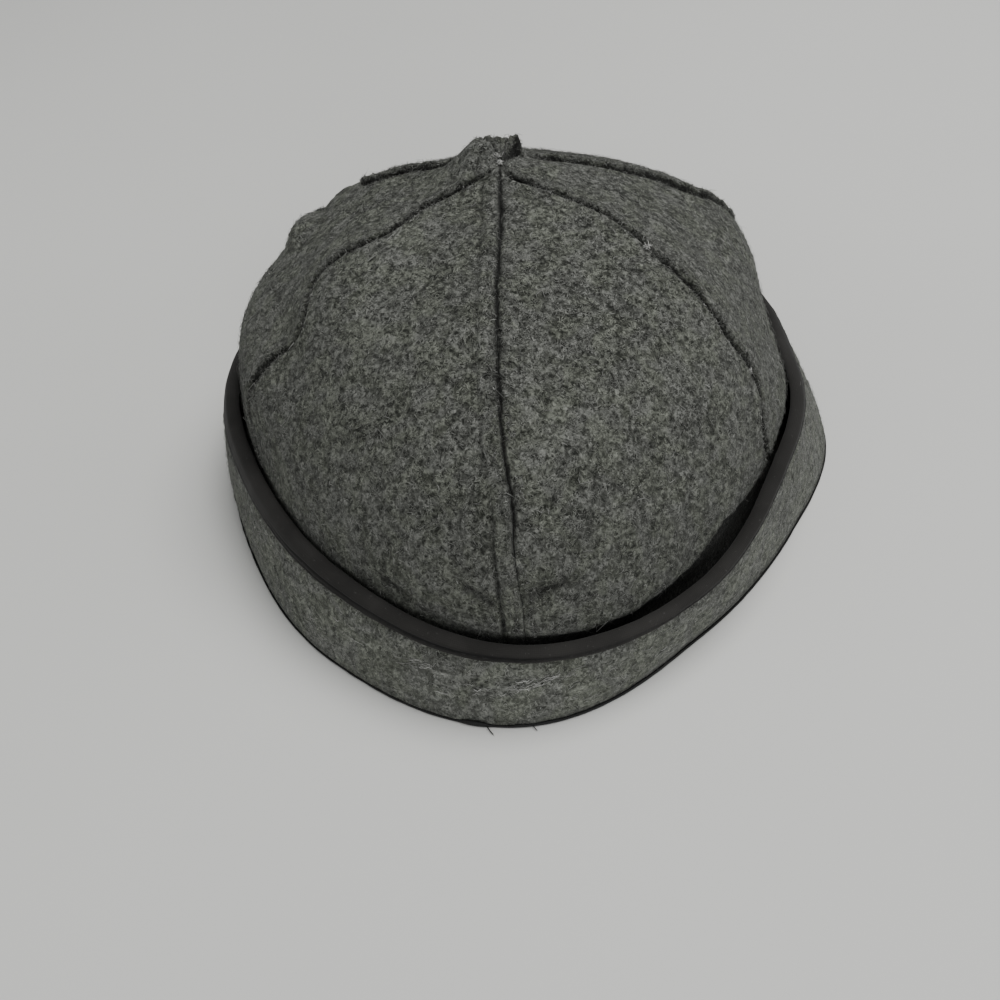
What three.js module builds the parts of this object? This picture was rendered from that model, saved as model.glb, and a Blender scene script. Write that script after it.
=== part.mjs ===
// A wool cap with six crown gores and an ear band folded up outside.
// Millimetres, +Z up, +Y towards the wearer's face, +X to the wearer's right.
// Angles run round the cap: 0 is the right side, 90 the front, -90 the back.
import * as THREE from "three";

// Cloth
const crownCloth = 2.2;
const bandCloth = 2.0;
const tapeCloth = 0.7;
const clearance = 0.3;
const tapeSlack = 0.4;

// Crown
const crownTop = 90.5;
const waistHeight = 18.5;
const leanRight = -1.4;
const leanForward = 5.0;
const goreFlatness = 0.014;
const seamStart = -91.2;
const goreAngle = 60;
const apexRadius = 0.9;

// Edging tape under the lowest edges
const rimTapeHeight = 1.3;
const rimTapeLip = 0.2;

// How finely the cloth is divided
const goreColumns = 10;
const wallRows = 3;
const domeRows = 15;
const bandColumns = 72;

// Sections round the cap. rim is the outside radius of the band's foot, waist the crown's outside
// radius at waistHeight, stand the space between the crown and the binding, top the height of the
// band's upper edge, tape the depth of the binding on the outer face, belly the band's swell.
const sections = [
  { angle: -90, rim: 112.0, waist: 102.5, stand: 1.7, top: 23.1, tape: 2.3, belly: 0.8 },
  { angle: -60, rim: 96.4, waist: 90.4, stand: 4.1, top: 21.6, tape: 2.3, belly: 0.3 },
  { angle: -30, rim: 90.6, waist: 81.9, stand: 1.8, top: 31.2, tape: 2.4, belly: 0.3 },
  { angle: 0, rim: 96.6, waist: 78.2, stand: 0.6, top: 31.7, tape: 2.3, belly: 1.3 },
  { angle: 30, rim: 95.6, waist: 82.9, stand: 0.6, top: 31.4, tape: 3.0, belly: 3.4 },
  { angle: 60, rim: 101.0, waist: 94.3, stand: 0.8, top: 28.5, tape: 5.0, belly: 0.5 },
  { angle: 90, rim: 107.5, waist: 101.0, stand: 0.8, top: 26.5, tape: 5.0, belly: 0.5 },
  { angle: 120, rim: 102.5, waist: 95.8, stand: 0.8, top: 28.0, tape: 5.0, belly: 0.5 },
  { angle: 150, rim: 94.0, waist: 87.1, stand: 0.8, top: 31.5, tape: 5.0, belly: 1.0 },
  { angle: 180, rim: 92.0, waist: 84.6, stand: 0.7, top: 33.5, tape: 5.0, belly: 2.0 },
  { angle: 210, rim: 92.5, waist: 84.6, stand: 0.8, top: 31.5, tape: 4.6, belly: 1.5 },
  { angle: 240, rim: 102.5, waist: 93.0, stand: 0.6, top: 27.5, tape: 4.0, belly: 0.8 },
];

// Swells and dents of the crown. rise is the angle up from the waist seen from the middle of the
// waist, amount is outwards, and the two spreads are degrees round and degrees up.
const folds = [
  { name: "right rear shoulder", angle: -30, rise: 38, amount: 2.8, round: 26, up: 22 },
  { name: "right front corner", angle: 27, rise: 28, amount: 7.6, round: 25, up: 16 },
  { name: "low right swell", angle: -14, rise: 10, amount: 3.0, round: 18, up: 6 },
  { name: "left front corner", angle: 148, rise: 46, amount: 3.6, round: 24, up: 20 },
  { name: "left swell", angle: 181, rise: 25, amount: 5.5, round: 20, up: 12 },
  { name: "left rear corner", angle: 209, rise: 44, amount: 2.6, round: 20, up: 20 },
  { name: "left shelf", angle: 206, rise: 22, amount: 2.4, round: 13, up: 7 },
  { name: "left dent", angle: 204, rise: 33, amount: -2.4, round: 13, up: 6 },
  { name: "front slope", angle: 93, rise: 50, amount: -5.5, round: 38, up: 20 },
];
const apexLump = 3.6;
const apexSpread = 11;

const radians = Math.PI / 180;

// Smooth value of one column of the sections at any angle (cubic between rows, 30 degrees apart)
function around(column, angle) {
  const count = sections.length;
  const place = (((angle + 90) % 360) + 360) % 360 / (360 / count);
  const first = Math.floor(place) % count;
  const t = place - Math.floor(place);
  const row = (k) => sections[(first + k + count) % count][column];
  const a = row(-1);
  const b = row(0);
  const c = row(1);
  const d = row(2);
  const slopeStart = (c - a) / 2;
  const slopeEnd = (d - b) / 2;
  const t2 = t * t;
  const t3 = t2 * t;
  return (2 * t3 - 3 * t2 + 1) * b + (t3 - 2 * t2 + t) * slopeStart
    + (3 * t2 - 2 * t3) * c + (t3 - t2) * slopeEnd;
}

function angleApart(a, b) {
  return ((((a - b) % 360) + 540) % 360) - 180;
}

// Outward offset from all the folds in one direction
function foldOffset(angle, rise) {
  let sum = 0;
  for (const fold of folds) {
    const side = angleApart(angle, fold.angle) / fold.round;
    const high = (rise - fold.rise) / fold.up;
    sum += fold.amount * Math.exp(-side * side - high * high);
  }
  const fromApex = (90 - rise) / apexSpread;
  return sum + apexLump * Math.exp(-fromApex * fromApex);
}

// Between two seams the gore lies a little inside the round form
function goreFlat(angle, rise) {
  const place = angleApart(angle, seamStart) / goreAngle;
  const across = place - Math.floor(place);
  const high = Math.sin(Math.min(Math.max(rise, 0), 90) * 2 * radians);
  return 1 - goreFlatness * Math.sin(across * Math.PI) * high;
}

// Foot of the crown's outer face, just inside the band
function crownFoot(angle) {
  return around("rim", angle) - bandCloth - clearance;
}

// Outside of the crown's upright wall, from the rim to the waist
function wallRadius(angle, height) {
  const waist = around("waist", angle);
  const low = Math.max(0, 1 - height / waistHeight);
  const rise = Math.atan2(height - waistHeight, waist) / radians;
  const settle = Math.min(1, height / 6);
  return waist + (crownFoot(angle) - waist) * Math.pow(low, 1.7) + foldOffset(angle, rise) * settle;
}

// Outside of the dome above the waist, measured from the middle of the waist
function domeRadius(angle, rise) {
  const waist = around("waist", angle);
  const up = crownTop - waistHeight;
  const across = Math.cos(rise * radians) / waist;
  const along = Math.sin(rise * radians) / up;
  return goreFlat(angle, rise) / Math.hypot(across, along) + foldOffset(angle, rise);
}

// One point of the crown; depth is measured square to the cloth, inwards
function crownPoint(angle, row, depth) {
  const c = Math.cos(angle * radians);
  const s = Math.sin(angle * radians);
  if (row < wallRows) {
    const height = rimTapeHeight + clearance
      + (waistHeight - rimTapeHeight - clearance) * row / wallRows;
    const slope = (wallRadius(angle, height + 0.5) - wallRadius(angle, height - 0.5));
    const r = wallRadius(angle, height) - depth * Math.hypot(1, slope);
    return [r * c, r * s, height];
  }
  const rise = riseOfRow(row);
  const turn = 0.5;
  const slope = (domeRadius(angle, rise + turn) - domeRadius(angle, rise - turn))
    / (2 * turn * radians * domeRadius(angle, rise));
  const r = domeRadius(angle, rise) - depth * Math.min(1.6, Math.hypot(1, slope));
  const flat = r * Math.cos(rise * radians);
  const z = waistHeight + r * Math.sin(rise * radians);
  const k = Math.max(0, (z - waistHeight) / (crownTop - waistHeight));
  return [flat * c + leanRight * k, flat * s + leanForward * k, z];
}

function riseOfRow(row) {
  const last = 90 - apexRadius / (crownTop - waistHeight) / radians;
  const t = (row - wallRows) / domeRows;
  return last * t;
}

// Closed body from a grid of points. Each section is a loop of points; sections run in order.
// When ring is true the last section joins the first, otherwise both ends are capped by a strip.
function bodyFromLoops(loops, ring, caps) {
  const points = loops.flat();
  const size = loops[0].length;
  const index = [];
  const count = loops.length;
  const spans = ring ? count : count - 1;
  for (let i = 0; i < spans; i++) {
    const here = i * size;
    const next = ((i + 1) % count) * size;
    for (let j = 0; j < size; j++) {
      const k = (j + 1) % size;
      index.push(here + j, next + j, next + k);
      index.push(here + j, next + k, here + k);
    }
  }
  if (!ring) {
    for (const [a, b, c] of caps(0)) {
      index.push(a, b, c);
    }
    for (const [a, b, c] of caps((count - 1) * size)) {
      index.push(a, c, b);
    }
  }
  return { points, index };
}

// The middle of the whole cap's plan, so that the cap stands over the origin
function planMiddle() {
  const xs = [];
  const ys = [];
  for (let i = 0; i < bandColumns; i++) {
    const angle = seamStart + 360 * i / bandColumns;
    const reaches = bandHeights.map((t) => {
      return bandRadius(angle, bandFoot + (tapeLine(angle) - bandFoot) * t) + bandCloth;
    });
    reaches.push(around("rim", angle) + rimTapeLip);
    for (const r of reaches) {
      xs.push(r * Math.cos(angle * radians));
      ys.push(r * Math.sin(angle * radians));
    }
  }
  return [
    (Math.min(...xs) + Math.max(...xs)) / 2,
    (Math.min(...ys) + Math.max(...ys)) / 2,
  ];
}

// Ear band: shares of its height below the binding where the sections are cut
const bandHeights = [0, 0.33, 0.67, 1];

function bandTopInner(angle) {
  const height = around("top", angle);
  return crownOuterAt(angle, height) + around("stand", angle) + tapeCloth + tapeSlack;
}

// Inner radius of the band at one height; straight where the binding covers it
function bandRadius(angle, height) {
  const top = around("top", angle);
  const under = tapeLine(angle);
  if (height > under) {
    const share = (height - under) / (top - under);
    return bandBelow(angle, under) * (1 - share) + bandTopInner(angle) * share;
  }
  return bandBelow(angle, height);
}

function bandBelow(angle, height) {
  const foot = around("rim", angle) - bandCloth;
  const t = (height - bandFoot) / (around("top", angle) - bandFoot);
  const plain = foot + (bandTopInner(angle) - foot) * t + around("belly", angle) * 4 * t * (1 - t);
  return Math.max(plain, crownOuterAt(angle, height) + clearance);
}

// Height of the binding's lower edge
function tapeLine(angle) {
  return around("top", angle) - around("tape", angle);
}

const bandFoot = rimTapeHeight + clearance;

// Outside radius of the crown at one height, found by halving
function crownOuterAt(angle, height) {
  if (height <= waistHeight) {
    return wallRadius(angle, height);
  }
  let low = 0;
  let high = 80;
  for (let i = 0; i < 30; i++) {
    const middle = (low + high) / 2;
    const z = waistHeight + domeRadius(angle, middle) * Math.sin(middle * radians);
    if (z < height) {
      low = middle;
    } else {
      high = middle;
    }
  }
  const k = (height - waistHeight) / (crownTop - waistHeight);
  const lean = k * (leanRight * Math.cos(angle * radians) + leanForward * Math.sin(angle * radians));
  return domeRadius(angle, low) * Math.cos(low * radians) + lean;
}

const [middleX, middleY] = planMiddle();

function gore(start) {
  const rows = wallRows + domeRows;
  const loops = [];
  for (let row = 0; row <= rows; row++) {
    const outer = [];
    const inner = [];
    for (let column = 0; column <= goreColumns; column++) {
      outer.push(goreEdge(start, row, column, 0));
      inner.push(goreEdge(start, row, column, crownCloth));
    }
    loops.push([...inner, ...outer.reverse()]);
  }
  const width = goreColumns + 1;
  const caps = (from) => {
    const strip = [];
    for (let j = 0; j < goreColumns; j++) {
      const a = from + j;
      const b = from + j + 1;
      const c = from + 2 * width - 2 - j;
      const d = from + 2 * width - 1 - j;
      strip.push([a, b, c], [a, c, d]);
    }
    return strip;
  };
  return bodyFromLoops(loops, false, caps);
}

// A point of a gore; each side stays half the clearance from the seam's own upright plane
function goreEdge(start, row, column, depth) {
  const share = column / goreColumns;
  const plain = crownPoint(start + goreAngle * share, row, depth);
  const k = Math.max(0, (plain[2] - waistHeight) / (crownTop - waistHeight));
  const r = Math.hypot(plain[0] - leanRight * k, plain[1] - leanForward * k);
  const inset = Math.asin(Math.min(0.9, clearance / 2 / r)) / radians;
  const angle = start + inset + (goreAngle - 2 * inset) * share;
  return crownPoint(angle, row, depth);
}

function earBand() {
  const loops = [];
  for (let i = 0; i < bandColumns; i++) {
    const angle = seamStart + 360 * i / bandColumns;
    const heights = bandHeights.map((t) => bandFoot + (tapeLine(angle) - bandFoot) * t);
    heights.push(tapeLine(angle) + around("tape", angle) / 2);
    heights.push(around("top", angle) - tapeCloth - tapeSlack);
    const outer = [];
    const inner = [];
    for (const height of heights) {
      const r = bandRadius(angle, height);
      outer.push(polar(angle, r + bandCloth, height));
      inner.push(polar(angle, r, height));
    }
    loops.push([...outer, ...inner.reverse()]);
  }
  return bodyFromLoops(loops, true);
}

// The binding is a bent strip over the band's upper edge, its crest gently rounded
function bandBinding() {
  const loops = [];
  for (let i = 0; i < bandColumns; i++) {
    const angle = seamStart + 360 * i / bandColumns;
    const topHeight = around("top", angle);
    const tape = around("tape", angle);
    const side = (down, out) => [bandRadius(angle, topHeight - down) + out, topHeight - down];
    const inside = -tapeSlack;
    const outside = bandCloth + tapeSlack;
    const under = tapeCloth;
    const shape = [
      side(tape, outside + tapeCloth),
      side(tape / 2, outside + tapeCloth),
      side(0.9, outside + tapeCloth),
      side(0.25, outside + 0.15),
      side(0, bandCloth / 2),
      side(0.25, inside - 0.15),
      side(0.9, inside - tapeCloth),
      side(tape / 2, inside - tapeCloth),
      side(tape, inside - tapeCloth),
      side(tape, inside),
      side(tape / 2, inside),
      side(under, inside),
      side(under, outside),
      side(tape / 2, outside),
      side(tape, outside),
    ];
    loops.push(shape.map(([r, z]) => polar(angle, r, z)));
  }
  return bodyFromLoops(loops, true);
}

// Dark edging tape, flat underneath; the cap rests on it
function rimTape() {
  const loops = [];
  for (let i = 0; i < bandColumns; i++) {
    const angle = seamStart + 360 * i / bandColumns;
    const outer = around("rim", angle) + rimTapeLip;
    const inner = crownFoot(angle) - crownCloth - 0.4;
    loops.push([
      polar(angle, outer, 0),
      polar(angle, outer, rimTapeHeight),
      polar(angle, inner, rimTapeHeight),
      polar(angle, inner, 0),
    ]);
  }
  return bodyFromLoops(loops, true);
}

function polar(angle, radius, height) {
  return [radius * Math.cos(angle * radians), radius * Math.sin(angle * radians), height];
}

const group = new THREE.Group();
group.name = "wool_earflap_cap";

function addPiece(name, body, colour) {
  const geometry = new THREE.BufferGeometry();
  const flat = new Float32Array(body.points.length * 3);
  body.points.forEach(([x, y, z], i) => flat.set([x - middleX, y - middleY, z], i * 3));
  geometry.setAttribute("position", new THREE.BufferAttribute(flat, 3));
  geometry.setIndex(body.index);
  geometry.computeVertexNormals();
  const material = new THREE.MeshStandardMaterial({ color: colour, roughness: 0.95, metalness: 0 });
  const mesh = new THREE.Mesh(geometry, material);
  mesh.name = name;
  group.add(mesh);
}

const woolGrey = 0x565854;
const tapeCharcoal = 0x2d2b29;
const goreNames = ["back_right", "side_right", "front_right", "front_left", "side_left", "back_left"];
goreNames.forEach((place, i) => {
  addPiece("crown_panel_" + place, gore(seamStart + goreAngle * i), woolGrey);
});
addPiece("earflap_band", earBand(), woolGrey);
addPiece("earflap_binding", bandBinding(), tapeCharcoal);
addPiece("rim_binding", rimTape(), tapeCharcoal);

export default group;
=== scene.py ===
import math

import bpy
import numpy as np
from mathutils import Matrix


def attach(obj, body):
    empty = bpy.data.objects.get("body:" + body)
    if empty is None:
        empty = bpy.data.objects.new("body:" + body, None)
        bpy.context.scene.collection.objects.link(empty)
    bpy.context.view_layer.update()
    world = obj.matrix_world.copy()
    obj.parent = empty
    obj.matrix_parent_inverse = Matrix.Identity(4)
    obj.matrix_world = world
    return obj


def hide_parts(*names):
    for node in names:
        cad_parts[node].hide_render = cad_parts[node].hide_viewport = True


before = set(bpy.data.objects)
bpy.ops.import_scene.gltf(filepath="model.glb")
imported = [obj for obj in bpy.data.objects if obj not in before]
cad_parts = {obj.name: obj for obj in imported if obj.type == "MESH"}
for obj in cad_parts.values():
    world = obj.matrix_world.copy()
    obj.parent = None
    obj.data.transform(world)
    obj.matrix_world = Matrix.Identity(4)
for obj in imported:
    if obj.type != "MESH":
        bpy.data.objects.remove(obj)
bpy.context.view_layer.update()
print("frame loaded with", len(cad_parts), "nodes")


# rows of values under their column names, one dictionary a row
def table(columns, *rows):
    return [dict(zip(columns.split(), row)) for row in rows]


# the cap's form: millimetres, and degrees round the cap (0 right, 90 front, -90 back)
cap = {
    "crownCloth": 2.2, "bandCloth": 2.0, "tapeCloth": 0.7, "gap": 0.3, "tapeSlack": 0.4,
    "crownTop": 90.5, "waistHeight": 18.5, "leanRight": -1.4, "leanForward": 5.0,
    "goreFlatness": 0.014, "seamStart": -91.2, "goreAngle": 60.0,
    "apexLump": 3.6, "apexSpread": 11.0, "rimTapeHeight": 1.3,
    "middleX": 2.17041, "middleY": -2.31544, "lastRise": 89.75,
}
bandFoot = cap["rimTapeHeight"] + cap["gap"]
crownHeight = cap["crownTop"] - cap["waistHeight"]

# rim: outside radius of the band's foot, waist: crown radius at waistHeight, stand: space between
# crown and binding, top: height of the band's edge, tape: depth of the binding, belly: band's swell
sections = table(
    "angle rim waist stand top tape belly",
    (-90, 112.0, 102.5, 1.7, 23.1, 2.3, 0.8),
    (-60, 96.4, 90.4, 4.1, 21.6, 2.3, 0.3),
    (-30, 90.6, 81.9, 1.8, 31.2, 2.4, 0.3),
    (0, 96.6, 78.2, 0.6, 31.7, 2.3, 1.3),
    (30, 95.6, 82.9, 0.6, 31.4, 3.0, 3.4),
    (60, 101.0, 94.3, 0.8, 28.5, 5.0, 0.5),
    (90, 107.5, 101.0, 0.8, 26.5, 5.0, 0.5),
    (120, 102.5, 95.8, 0.8, 28.0, 5.0, 0.5),
    (150, 94.0, 87.1, 0.8, 31.5, 5.0, 1.0),
    (180, 92.0, 84.6, 0.7, 33.5, 5.0, 2.0),
    (210, 92.5, 84.6, 0.8, 31.5, 4.6, 1.5),
    (240, 102.5, 93.0, 0.6, 27.5, 4.0, 0.8),
)

# swells and dents: amount is outwards, round and up are the spreads in degrees
folds = table(
    "name angle rise amount round up",
    ("right rear shoulder", -30, 38, 2.8, 26, 22),
    ("right front corner", 27, 28, 7.6, 25, 16),
    ("low right swell", -14, 10, 3.0, 18, 6),
    ("left front corner", 148, 46, 3.6, 24, 20),
    ("left swell", 181, 25, 5.5, 20, 12),
    ("left rear corner", 209, 44, 2.6, 20, 20),
    ("left shelf", 206, 22, 2.4, 13, 7),
    ("left dent", 204, 33, -2.4, 13, 6),
    ("front slope", 93, 50, -5.5, 38, 20),
)

degrees = math.pi / 180


# one column of the sections at any angle: cubic between rows 30 degrees apart, slopes from neighbours
def around(column, angle):
    values = np.array([row[column] for row in sections])
    place = np.mod(np.asarray(angle, float) + 90, 360) / (360 / len(values))
    first = np.floor(place).astype(int) % len(values)
    t = place - np.floor(place)
    before, here, after, beyond = (values[(first + k) % len(values)] for k in (-1, 0, 1, 2))
    slopeHere, slopeAfter = (after - before) / 2, (beyond - here) / 2
    return ((2 * t**3 - 3 * t**2 + 1) * here + (t**3 - 2 * t**2 + t) * slopeHere
            + (3 * t**2 - 2 * t**3) * after + (t**3 - t**2) * slopeAfter)


# shortest turn from b to a, -180 to 180
def turnBetween(a, b):
    return np.mod(a - b + 540, 360) - 180


# sum of bell-shaped swells, each amount * exp(-(turn/round)^2 - (height/up)^2), and one at the apex
def foldOffset(angle, rise):
    total = cap["apexLump"] * np.exp(-((90 - rise) / cap["apexSpread"]) ** 2)
    for fold in folds:
        side = turnBetween(angle, fold["angle"]) / fold["round"]
        total = total + fold["amount"] * np.exp(-side**2 - ((rise - fold["rise"]) / fold["up"]) ** 2)
    return total


# radius of the upright wall: waist plus the step to the foot times (1 - height/waistHeight)^1.7
def wallRadius(angle, height):
    waist = around("waist", angle)
    low = np.maximum(0, 1 - height / cap["waistHeight"])
    rise = np.arctan2(height - cap["waistHeight"], waist) / degrees
    foot = around("rim", angle) - cap["bandCloth"] - cap["gap"]
    return waist + (foot - waist) * low**1.7 + foldOffset(angle, rise) * np.clip(height / 6, 0, 1)


# radius of the dome from the middle of the waist: an ellipse in rise, flatter between seams, plus folds
def domeRadius(angle, rise):
    across = turnBetween(angle, cap["seamStart"]) / cap["goreAngle"]
    across = across - np.floor(across)
    flat = 1 - cap["goreFlatness"] * np.sin(across * math.pi) * np.sin(np.clip(rise, 0, 90) * 2 * degrees)
    waist = around("waist", angle)
    return flat / np.hypot(np.cos(rise * degrees) / waist, np.sin(rise * degrees) / crownHeight) \
        + foldOffset(angle, rise)


def lean(height):
    return np.maximum(0, (height - cap["waistHeight"]) / crownHeight)


# radius, angle and height to a point, in the row frame
def polar(angle, radius, height):
    return np.stack([radius * np.cos(angle * degrees) - cap["middleX"],
                     radius * np.sin(angle * degrees) - cap["middleY"],
                     height + 0 * radius], axis=-1)


# the crown's outer face: level -1 to 0 runs up the wall, 0 to 1 over the dome to the apex
def crownSpot(angle, level):
    height = bandFoot + (cap["waistHeight"] - bandFoot) * (1 + np.minimum(level, 0))
    rise = cap["lastRise"] * np.maximum(level, 0)
    dome = domeRadius(angle, rise)
    radius = np.where(level < 0, wallRadius(angle, height), dome * np.cos(rise * degrees))
    height = np.where(level < 0, height, cap["waistHeight"] + dome * np.sin(rise * degrees))
    spot = polar(angle, radius, height)
    spot[..., 0] += cap["leanRight"] * lean(height)
    spot[..., 1] += cap["leanForward"] * lean(height)
    return spot


# outward direction of the crown: cross product of the step round it and the step up it
def crownNormal(angle, level):
    stepRound = crownSpot(angle + 0.4, level) - crownSpot(angle - 0.4, level)
    stepUp = crownSpot(angle, level + 0.012) - crownSpot(angle, level - 0.012)
    return unit(np.cross(stepRound, stepUp))


def unit(vectors):
    return vectors / np.maximum(np.linalg.norm(vectors, axis=-1, keepdims=True), 1e-9)


# outside radius of the crown at one height, by halving the rise
def crownOuterAt(angle, height):
    low, high = np.zeros(np.shape(angle)), np.full(np.shape(angle), 80.0)
    for _ in range(30):
        middle = (low + high) / 2
        under = cap["waistHeight"] + domeRadius(angle, middle) * np.sin(middle * degrees) < height
        low, high = np.where(under, middle, low), np.where(under, high, middle)
    push = lean(height) * (cap["leanRight"] * np.cos(angle * degrees)
                           + cap["leanForward"] * np.sin(angle * degrees))
    dome = domeRadius(angle, low) * np.cos(low * degrees) + push
    return np.where(height <= cap["waistHeight"], wallRadius(angle, height), dome)


def tapeLine(angle):
    return around("top", angle) - around("tape", angle)


def bandTopInner(angle):
    return (crownOuterAt(angle, around("top", angle)) + around("stand", angle)
            + cap["tapeCloth"] + cap["tapeSlack"])


# band's inner radius: straight from foot to top plus belly * 4t(1 - t), never inside the crown
def bandBelow(angle, height):
    foot = around("rim", angle) - cap["bandCloth"]
    t = (height - bandFoot) / (around("top", angle) - bandFoot)
    plain = foot + (bandTopInner(angle) - foot) * t + around("belly", angle) * 4 * t * (1 - t)
    return np.maximum(plain, crownOuterAt(angle, height) + cap["gap"])


# the same, straight where the binding covers it
def bandRadius(angle, height):
    top, under = around("top", angle), tapeLine(angle)
    share = (height - under) / (top - under)
    below = bandBelow(angle, np.minimum(height, under))
    return np.where(height > under, below * (1 - share) + bandTopInner(angle) * share, below)


# smooth random value, -1 to 1: corner values of a cube lattice blended by 3t^2 - 2t^3
def latticeNoise(spots, cell, seed):
    values = np.random.default_rng(seed).uniform(-1, 1, (32, 32, 32))
    place = spots / cell + 64
    base = np.floor(place).astype(int)
    t = place - base
    t = t * t * (3 - 2 * t)
    total = 0
    for corner in np.ndindex(2, 2, 2):
        weight = np.prod(np.where(corner, t, 1 - t), axis=-1)
        total = total + weight * values[tuple(np.moveaxis((base + corner) % 32, -1, 0))]
    return total


# 0 below low, 1 above high, 3t^2 - 2t^3 between
def easeStep(value, low, high):
    t = np.clip((value - low) / (high - low), 0, 1)
    return t * t * (3 - 2 * t)


# mesh making
# points in millimetres and faces of four or three corners become an object with its place in its mesh
def makePiece(name, points, quads, material, triangles=None, masks=None, clothRun=None):
    mesh = bpy.data.meshes.new(name)
    triangles = np.zeros((0, 3), int) if triangles is None else triangles
    corners = np.concatenate([quads.ravel(), triangles.ravel()]).astype(np.int32)
    totals = np.concatenate([np.full(len(quads), 4), np.full(len(triangles), 3)]).astype(np.int32)
    starts = np.concatenate([[0], np.cumsum(totals)[:-1]]).astype(np.int32)
    mesh.vertices.add(len(points))
    mesh.vertices.foreach_set("co", (points / 1000).astype(np.float32).ravel())
    mesh.loops.add(len(corners))
    mesh.loops.foreach_set("vertex_index", corners)
    mesh.polygons.add(len(totals))
    mesh.polygons.foreach_set("loop_start", starts)
    mesh.polygons.foreach_set("loop_total", totals)
    mesh.polygons.foreach_set("use_smooth", np.ones(len(totals), bool))
    mesh.update(calc_edges=True)
    for maskName, values in (masks or {}).items():
        layer = mesh.attributes.new(maskName, "FLOAT", "POINT")
        layer.data.foreach_set("value", values.astype(np.float32).ravel())
    if clothRun is not None:
        layer = mesh.uv_layers.new(name="clothRun")
        layer.data.foreach_set("uv", clothRun[corners].astype(np.float32).ravel())
    mesh.validate()
    piece = bpy.data.objects.new(name, mesh)
    bpy.context.scene.collection.objects.link(piece)
    mesh.materials.append(material)
    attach(piece, "root")
    return piece


# a closed body from loops of points, one loop after another: (loops, size, 3)
def loopQuads(loops, size, ring):
    here = np.arange(loops if ring else loops - 1)[:, None] * size
    ahead = (np.arange(1, loops + 1 if ring else loops)[:, None] % loops) * size
    j = np.arange(size)[None, :]
    k = (j + 1) % size
    return np.stack([here + j, ahead + j, ahead + k, here + k], axis=-1).reshape(-1, 4)


# ends of a body whose loops run along a sparse inner side and back along a dense outer side: each
# outer step is joined to the nearest inner points, with a triangle where both are the same one
def endFaces(loops, innerCount, size):
    outerCount = size - innerCount
    near = np.round(np.linspace(0, innerCount - 1, outerCount)).astype(int)
    outer = size - 1 - np.arange(outerCount)
    quads = np.stack([near[:-1], near[1:], outer[1:], outer[:-1]], axis=-1)
    same = near[:-1] == near[1:]
    last = (loops - 1) * size
    triangles = quads[same][:, 1:]
    quads = quads[~same]
    return (np.concatenate([quads, last + quads[:, ::-1]]), np.concatenate([triangles, last + triangles[:, ::-1]]))


# materials
def addNode(tree, kind, spot, **settings):
    node = tree.nodes.new(kind)
    node.location = spot
    for key, value in settings.items():
        if key in node.inputs:
            node.inputs[key].default_value = value
        else:
            setattr(node, key, value)
    return node


def math2(tree, operation, spot, a, b=0.5, clamp=False):
    node = addNode(tree, "ShaderNodeMath", spot, operation=operation, use_clamp=clamp)
    for socket, value in zip(node.inputs, (a, b)):
        if isinstance(value, (int, float)):
            socket.default_value = value
        else:
            tree.links.new(value, socket)
    return node.outputs[0]


def stretched(tree, spot, source, low, high, toLow=0.0, toHigh=1.0):
    node = addNode(tree, "ShaderNodeMapRange", spot)
    for socket, value in zip(list(node.inputs)[1:5], (low, high, toLow, toHigh)):
        socket.default_value = value
    tree.links.new(source, node.inputs[0])
    return node.outputs[0]


def blend(tree, spot, share, first, second, mode="MIX"):
    node = addNode(tree, "ShaderNodeMix", spot, data_type="RGBA", blend_type=mode)
    for socket, value in ((node.inputs[0], share), (node.inputs[6], first), (node.inputs[7], second)):
        if isinstance(value, bpy.types.NodeSocket):
            tree.links.new(value, socket)
        elif isinstance(value, tuple):
            socket.default_value = (*value, 1.0)
        else:
            socket.default_value = value
    return node.outputs[2]


def noise(tree, spot, vector, scale, detail=2.0, distortion=0.0, roughness=0.5):
    node = addNode(tree, "ShaderNodeTexNoise", spot, Scale=scale, Detail=detail,
                   Distortion=distortion, Roughness=roughness)
    tree.links.new(vector, node.inputs["Vector"])
    return node.outputs[0]


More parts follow.
